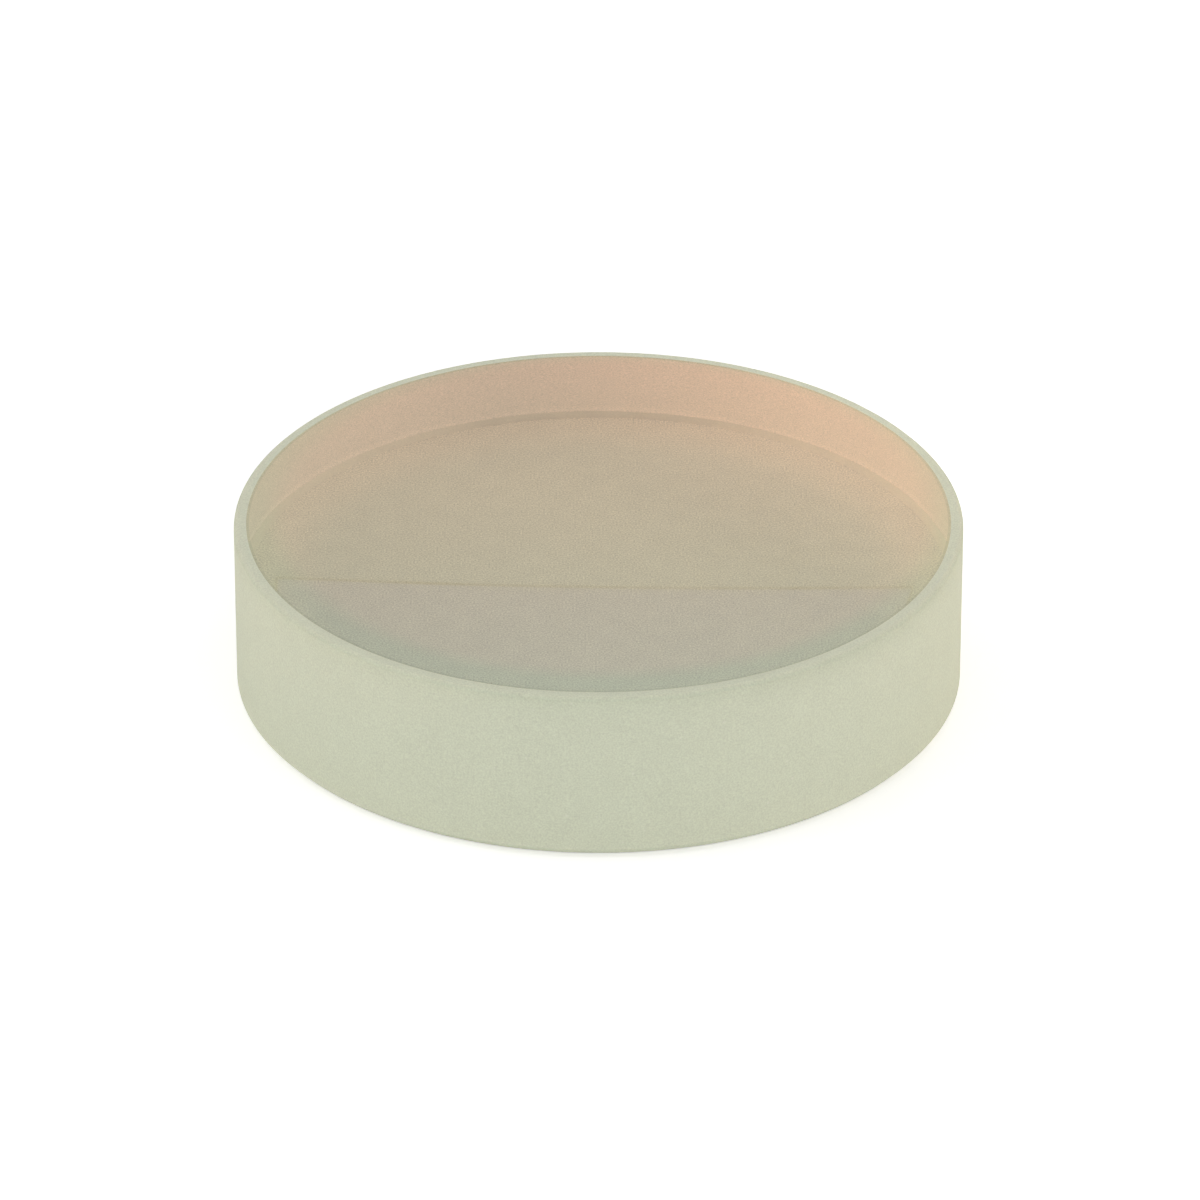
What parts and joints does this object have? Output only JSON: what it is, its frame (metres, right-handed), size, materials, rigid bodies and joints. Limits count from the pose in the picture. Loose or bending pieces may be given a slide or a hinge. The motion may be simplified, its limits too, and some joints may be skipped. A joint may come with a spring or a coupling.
{
  "type": "concave mirror",
  "caption": "Round concave mirror for an optical bench: thick ground-glass blank with a shallow polished hollow, tinted by its thin reflecting coat.",
  "frame": {"origin": "centre of the flat back face, on the optical axis", "axes": "+Z along the optical axis, from the back face out through the hollow, towards the centre of curvature; X and Y are alike, because the mirror is round"},
  "size_m": [0.0254, 0.0254, 0.0062],
  "materials": {
    "ground_glass": "optical glass, pale grey-green, finely ground and frosted on the edge, bevels, rim land and back face; the spherical hollow is polished and carries a thin see-through coat with a warm amber to peach tint"
  },
  "bodies": {
    "root": {"concave_mirror": "ground_glass"}
  },
  "joints": []
}
